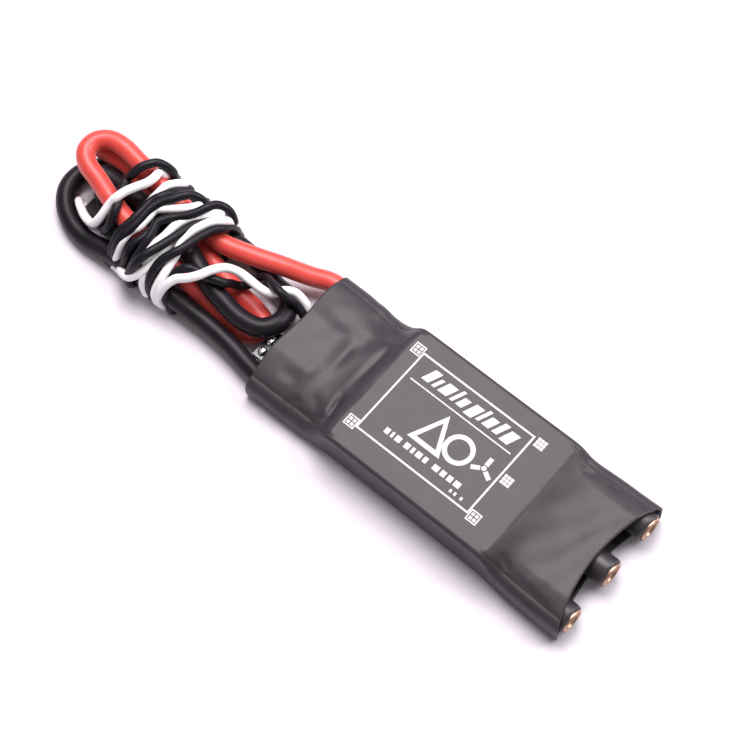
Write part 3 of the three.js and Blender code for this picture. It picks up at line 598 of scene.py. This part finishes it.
def sleeve_rings():
    """The sleeve's outer surface, one closed ring of points for each station along it."""
    count = int(round(SLEEVE_LENGTH / SLEEVE_STEP)) + 1
    stations = np.linspace(0.0, SLEEVE_LENGTH, count)
    edge_y, edge_z, half = edge_at(stations)
    share = np.sin(np.linspace(1.0, -1.0, TOP_POINTS) * TOP_FAN) / math.sin(TOP_FAN)
    y = share[None, :] * edge_y[:, None]
    x = np.repeat(stations[:, None], TOP_POINTS, axis=1)
    z = top_heights(x, y, share, edge_z)
    rings = []
    for i, at in enumerate(stations):
        top = np.column_stack([y[i], z[i]])
        left, right = top[0], top[-1]
        low_half = half[i] - LOW_CORNER
        ring = [tuple(p) for p in top]
        ring += corner_down(right, -half[i], at)
        ring += [(low_half * (2 * k / UNDERSIDE_SPANS - 1), UNDERSIDE_Z) for k in range(1, UNDERSIDE_SPANS)]
        ring += [(-py, pz) for py, pz in reversed(corner_down((-left[0], left[1]), -half[i], at + 30.0))]
        ring = np.array(ring)
        curl = LIP_CURL * math.exp(-at / 1.2) * np.sin(0.45 * ring[:, 0] + 0.8)
        rings.append(np.column_stack([at - lip_draw(at, ring[:, 0], half[i]) + curl, ring]))
    return np.array(rings)


def corner_down(start, side_y, at):
    """From the top's edge round the upper corner, down the side and round the lower corner, on -Y."""
    start_y, start_z = start
    bulge = 0.06 * math.sin(0.5 * at + 1.0) + 0.04 * math.sin(1.3 * at)
    drop = min(2.4, 0.55 + 1.35 * (start_y - side_y - 0.78))
    points = []
    for k in range(1, 11):
        angle = math.pi / 2 * k / 10
        points.append((start_y + (side_y - start_y) * math.sin(angle),
                       start_z - drop * (1 - math.cos(angle))))
    side_top, side_low = start_z - drop, LOW_CORNER
    for k in range(1, 7):
        share = k / 7
        points.append((side_y - bulge * math.sin(math.pi * share), side_top + (side_low - side_top) * share))
    for k in range(0, 9):
        angle = math.pi / 2 * k / 8
        points.append((side_y + LOW_CORNER * (1 - math.cos(angle)),
                       side_low - (side_low - UNDERSIDE_Z) * math.sin(angle)))
    return points


def inward(rings, distance):
    """The rings moved inwards by the wall's thickness, square to the surface."""
    along = np.gradient(rings, axis=0)
    around = np.roll(rings, -1, axis=1) - np.roll(rings, 1, axis=1)
    normal = np.cross(around, along)
    length = np.linalg.norm(normal, axis=2, keepdims=True)
    normal /= np.maximum(length, 1e-9)
    middle = rings.mean(axis=1, keepdims=True)
    if ((middle - rings) * normal).sum() < 0:
        normal = -normal
    return rings + normal * distance


def build_sleeve():
    """The film's outer and inner skins, joined round both cut ends."""
    outer = sleeve_rings()
    inner = inward(outer, WALL)
    inner[..., 2] = np.maximum(inner[..., 2], WALL)
    middle = (outer + inner) / 2
    front = middle[-1] + np.array([LIP_ROUND, 0.0, 0.0])
    back = middle[0] - np.array([LIP_ROUND, 0.0, 0.0])
    layers = [*outer, front, *inner[::-1], back]
    count = outer.shape[1]
    points = np.concatenate(layers)
    total = len(layers)
    faces = []
    for i in range(total):
        n = (i + 1) % total
        for j in range(count):
            k = (j + 1) % count
            faces.append((i * count + j, i * count + k, n * count + k, n * count + j))
    piece = mesh_piece("shrink_sleeve", points, faces, SLEEVE, ("outer_shrink_sleeve",))
    mesh = bmesh.new()
    mesh.from_mesh(piece.data)
    bmesh.ops.recalc_face_normals(mesh, faces=mesh.faces)
    mesh.to_mesh(piece.data)
    mesh.free()


build_sleeve()


# ---- Print on the sleeve -----------------------------------------------------------------------------

PRINT_Z = PLATEAU["top"] + 0.012
PRINT_THICKNESS = 0.03


class Print:
    """Thin flat ink shapes on the plateau."""

    def __init__(self):
        self.points = []
        self.faces = []

    def sheet(self, outline):
        first = len(self.points)
        count = len(outline)
        for z in (PRINT_Z, PRINT_Z + PRINT_THICKNESS):
            self.points += [(x, y, z) for x, y in outline]
        self.faces.append([first + k for k in reversed(range(count))])
        self.faces.append([first + count + k for k in range(count)])
        for k in range(count):
            n = (k + 1) % count
            self.faces.append([first + k, first + n, first + count + n, first + count + k])

    def bar(self, x0, y0, x1, y1):
        self.sheet([(x0, y0), (x1, y0), (x1, y1), (x0, y1)])

    def stroke(self, line, width, closed=False):
        """A band of even width along a line, as one strip of four-sided pieces."""
        p = np.array(line, float)
        count = len(p)
        if closed:
            ahead = np.roll(p, -1, axis=0) - p
            behind = p - np.roll(p, 1, axis=0)
        else:
            ahead = np.vstack([np.diff(p, axis=0), p[-1] - p[-2]])
            behind = np.vstack([p[1] - p[0], np.diff(p, axis=0)])
        ahead /= np.linalg.norm(ahead, axis=1, keepdims=True)
        behind /= np.linalg.norm(behind, axis=1, keepdims=True)
        mitre = ahead + behind
        mitre /= np.linalg.norm(mitre, axis=1, keepdims=True)
        side = np.column_stack([-mitre[:, 1], mitre[:, 0]])
        stretch = 1.0 / np.maximum((mitre * ahead).sum(axis=1), 0.5)
        half = side * (width / 2 * stretch)[:, None]
        first = len(self.points)
        for z in (PRINT_Z, PRINT_Z + PRINT_THICKNESS):
            for a in (p + half, p - half):
                self.points += [(x, y, z) for x, y in a]
        spans = count if closed else count - 1
        for k in range(spans):
            n = (k + 1) % count
            low_l, low_r, top_l, top_r = (first + s * count for s in range(4))
            self.faces.append([low_l + k, low_l + n, low_r + n, low_r + k])
            self.faces.append([top_l + k, top_r + k, top_r + n, top_l + n])
            self.faces.append([low_l + n, low_l + k, top_l + k, top_l + n])
            self.faces.append([low_r + k, low_r + n, top_r + n, top_r + k])
        if not closed:
            for k in (0, count - 1):
                quad = [first + k, first + count + k, first + 3 * count + k, first + 2 * count + k]
                self.faces.append(quad if k == 0 else quad[::-1])


def circle(x, y, radius, steps=40):
    return [(x + radius * math.cos(2 * math.pi * k / steps), y + radius * math.sin(2 * math.pi * k / steps))
            for k in range(steps)]


def corner_mark(ink, x, y, size, solid):
    """A small square mark: an outline with four dots in it, or nine small tiles."""
    half = size / 2
    if solid:
        cell = size / 3
        for i in range(3):
            for j in range(3):
                ink.bar(x - half + i * cell + 0.04, y - half + j * cell + 0.04,
                        x - half + (i + 1) * cell - 0.04, y - half + (j + 1) * cell - 0.04)
        return
    ink.stroke([(x - half, y - half), (x + half, y - half), (x + half, y + half), (x - half, y + half)],
               0.24, closed=True)
    dot = size * 0.15
    for dx in (-1, 1):
        for dy in (-1, 1):
            cx, cy = x + dx * size * 0.2, y + dy * size * 0.2
            ink.bar(cx - dot, cy - dot, cx + dot, cy + dot)


def build_print():
    ink = Print()
    ink.stroke([(20.75, -8.2), (44.3, -8.2), (44.3, 9.0), (20.75, 9.0)], 0.34, closed=True)
    for x, y in ((19.6, 9.0), (19.5, -8.0), (45.6, -8.2)):
        corner_mark(ink, x, y, 1.9, False)
    for x, y in ((45.9, 8.6), (45.75, 0.1)):
        corner_mark(ink, x, y, 1.9, True)
    # The header band: slanted bars of several widths over a rule.
    x = 23.2
    for width, low, high in ((1.5, 5.3, 8.0), (0.7, 5.3, 7.3), (1.9, 5.3, 7.6), (0.7, 5.3, 8.0),
                             (1.3, 5.3, 7.2), (1.7, 4.9, 7.5), (0.7, 5.3, 8.0), (1.5, 5.3, 7.4),
                             (1.1, 5.3, 7.9), (1.8, 5.0, 7.5)):
        lean = 0.42 * (high - low)
        ink.sheet([(x, low), (x + width, low), (x + width + lean, high), (x + lean, high)])
        x += width + 0.62
    ink.bar(21.9, 4.02, 43.2, 4.26)
    # The large marks: a triangle, a ring and a three-armed star.
    base, top = -3.6, 2.2
    ink.stroke([(28.7, base), (34.1, base), (31.4, top)], 0.85, closed=True)
    ink.stroke(circle(36.3, (base + top) / 2, 2.35), 0.85, closed=True)
    hub = np.array([41.5, (base + top) / 2 + 0.1])
    for angle in (90, 210, 330):
        arm = math.radians(angle)
        along = np.array([math.cos(arm), math.sin(arm)])
        aside = np.array([-along[1], along[0]])
        ink.sheet([tuple(hub + out_by * along + side * aside)
                   for out_by, side in ((0.62, -0.4), (2.2, -0.4), (2.2, 0.4), (0.62, 0.4))])
    ink.sheet(circle(*hub, 0.45, 24))
    # The small marks: a row of short dashes, a gap, more dashes, and three ticks.
    x = 24.7
    for width in (0.9, 0.5, 1.1, 0.0, 1.0, 0.6, 1.1, 0.8, 0.0, 0.0, 1.2, 1.0, 1.0, 1.2):
        if width:
            ink.bar(x, -6.1, x + width, -5.0)
        x += width + 0.42
    for x in (39.6, 40.5, 41.8):
        ink.bar(x, -7.35, x + 0.45, -6.75)
    mesh_piece("label_print", ink.points, ink.faces, PRINT, (), smooth=False)


build_print()


# ---- Phase sockets -----------------------------------------------------------------------------------

SOCKET_Z = 3.5
SOCKET_PITCH = 10.2
SOCKET_SIDES = 72
SOCKET_FRONT = 68.0
SOCKET_LENGTH = 14.0
SHRINK_RIPPLE = 0.035
SHRINK_INNER = 2.4  # points within this radius are the tube's inner skin
SHRINK_RADIUS = 2.65


def lathe(profile, sides, centre):
    """A turned piece along x from a closed profile of (x, radius)."""
    points, faces = [], []
    count = len(profile)
    for s in range(sides):
        angle = 2 * math.pi * s / sides
        for x, radius in profile:
            points.append((x, centre[0] + radius * math.cos(angle), centre[1] + radius * math.sin(angle)))
    for s in range(sides):
        n = (s + 1) % sides
        for k in range(count):
            m = (k + 1) % count
            faces.append((s * count + k, s * count + m, n * count + m, n * count + k))
    return points, faces


def build_sockets():
    front = SOCKET_FRONT
    back = front - SOCKET_LENGTH
    for index, phase in enumerate("abc"):
        centre = ((1 - index) * SOCKET_PITCH, SOCKET_Z)
        tube = [
            (back, 1.62), (back, 2.15), (back + 0.12, 2.25), (front - 2.55, 2.25), (front - 2.5, 2.17),
            (front - 2.2, 2.17), (front - 2.15, 2.25), (front - 0.9, 2.25), (front - 0.85, 2.2),
            (front - 0.72, 2.2), (front - 0.67, 2.25), (front - 0.3, 2.25), (front - 0.1, 2.19),
            (front - 0.02, 2.06), (front, 1.98), (front - 0.05, 1.86), (front - 0.25, 1.78),
            (front - 1.4, 1.74), (front - 8.6, 1.74), (front - 9.0, 1.3), (front - 9.0, 0.02),
            (front - 9.9, 0.02), (back + 3.4, 0.02), (back + 3.4, 1.6),
        ]
        points, faces = lathe(tube, SOCKET_SIDES, centre)
        mesh_piece(f"phase_socket_{phase}", points, faces, GOLD, (f"phase_connector_{phase}",))
        sleeve = [
            (back + 2.4, 2.29), (back + 2.3, 2.5), (back + 2.5, 2.66), (front - 5.0, 2.68),
            (front - 2.6, 2.64), (front - 1.0, 2.62), (front - 0.62, 2.56), (front - 0.48, 2.45),
            (front - 0.52, 2.3),
        ]
        points, faces = lathe(sleeve, SOCKET_SIDES, centre)
        p = np.array(points)
        around = np.arctan2(p[:, 2] - centre[1], p[:, 1] - centre[0])
        ripple = SHRINK_RIPPLE * np.sin(3 * around + index) * np.sin(1.9 * p[:, 0] + index)
        outer = np.hypot(p[:, 1] - centre[0], p[:, 2] - centre[1]) > SHRINK_INNER
        scale = np.where(outer, 1 + ripple / SHRINK_RADIUS, 1.0)
        p[:, 1] = centre[0] + (p[:, 1] - centre[0]) * scale
        p[:, 2] = centre[1] + (p[:, 2] - centre[1]) * scale
        p[:, 0] += np.where(p[:, 0] > front - 1.1, 0.12 * np.sin(2 * around + 1.1 * index), 0.0)
        mesh_piece(f"socket_shrink_{phase}", p, faces, SOCKET_SHRINK, (f"phase_sleeve_{phase}",))


build_sockets()


# ---- Finishes of the pieces kept from the CAD --------------------------------------------------------

KEPT = {
    "power_board": BOARD, "mosfet": CHIP, "gate_driver": CHIP, "microcontroller": CHIP,
    "voltage_regulator": CHIP, "thermal_pad": PAD, "heatsink_plate": ALUMINIUM, "resonator": CAN,
    "ceramic_capacitor": CERAMIC, "input_capacitor": TANTALUM, "positive_solder": SOLDER,
    "negative_solder": SOLDER, "input_pad_solder": SOLDER, "phase_solder": SOLDER,
    "signal_plug": NYLON, "signal_contact": GOLD,
}


def finish_kept():
    for name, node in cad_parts.items():
        for start, made in KEPT.items():
            if name.startswith(start):
                node.data.materials.clear()
                node.data.materials.append(made)


finish_kept()


# ---- Floor, light and background ---------------------------------------------------------------------

FLOOR_REACH = 3.0
LIGHTS_AIM = (-0.01, 0.0, 0.0)
WORLD_COLOUR = (0.99, 0.985, 1.0, 1.0)
WORLD_STRENGTH = 0.31


def build_stage():
    data = bpy.data.meshes.new("floor")
    reach = FLOOR_REACH
    data.from_pydata([(-reach, -reach, 0), (reach, -reach, 0), (reach, reach, 0), (-reach, reach, 0)],
                     [], [(0, 1, 2, 3)])
    floor = bpy.data.objects.new("floor", data)
    made, tree, shader, where = node_material("floor_paper")
    tone = ramp(tree, noise(tree, where, 30.0), [(0.3, (0.77, 0.725, 0.775)), (0.7, (0.79, 0.745, 0.795))])
    tree.links.new(tone, shader.inputs["Base Color"])
    shader.inputs["Roughness"].default_value = 0.8
    shader.inputs["Specular IOR Level"].default_value = 0.2
    data.materials.append(made)
    bpy.context.collection.objects.link(floor)


def area_light(name, place, size, power, colour=(1, 1, 1)):
    data = bpy.data.lights.new(name, "AREA")
    data.shape = "DISK"
    data.size = size
    data.energy = power
    data.color = colour
    light = bpy.data.objects.new(name, data)
    light.location = place
    towards = Vector(LIGHTS_AIM) - Vector(place)
    light.rotation_euler = towards.to_track_quat("-Z", "Y").to_euler()
    bpy.context.collection.objects.link(light)


def build_world():
    world = bpy.data.worlds.new("studio")
    bpy.context.scene.world = world
    world.use_nodes = True
    background = world.node_tree.nodes["Background"]
    background.inputs["Color"].default_value = WORLD_COLOUR
    background.inputs["Strength"].default_value = WORLD_STRENGTH


build_stage()
area_light("key", (-0.175, 0.19, 0.64), 0.46, 6.1, (1.0, 0.945, 0.985))
area_light("fill", (0.26, 0.42, 0.42), 0.4, 2.7)
build_world()
bpy.context.scene.view_settings.view_transform = "Standard"
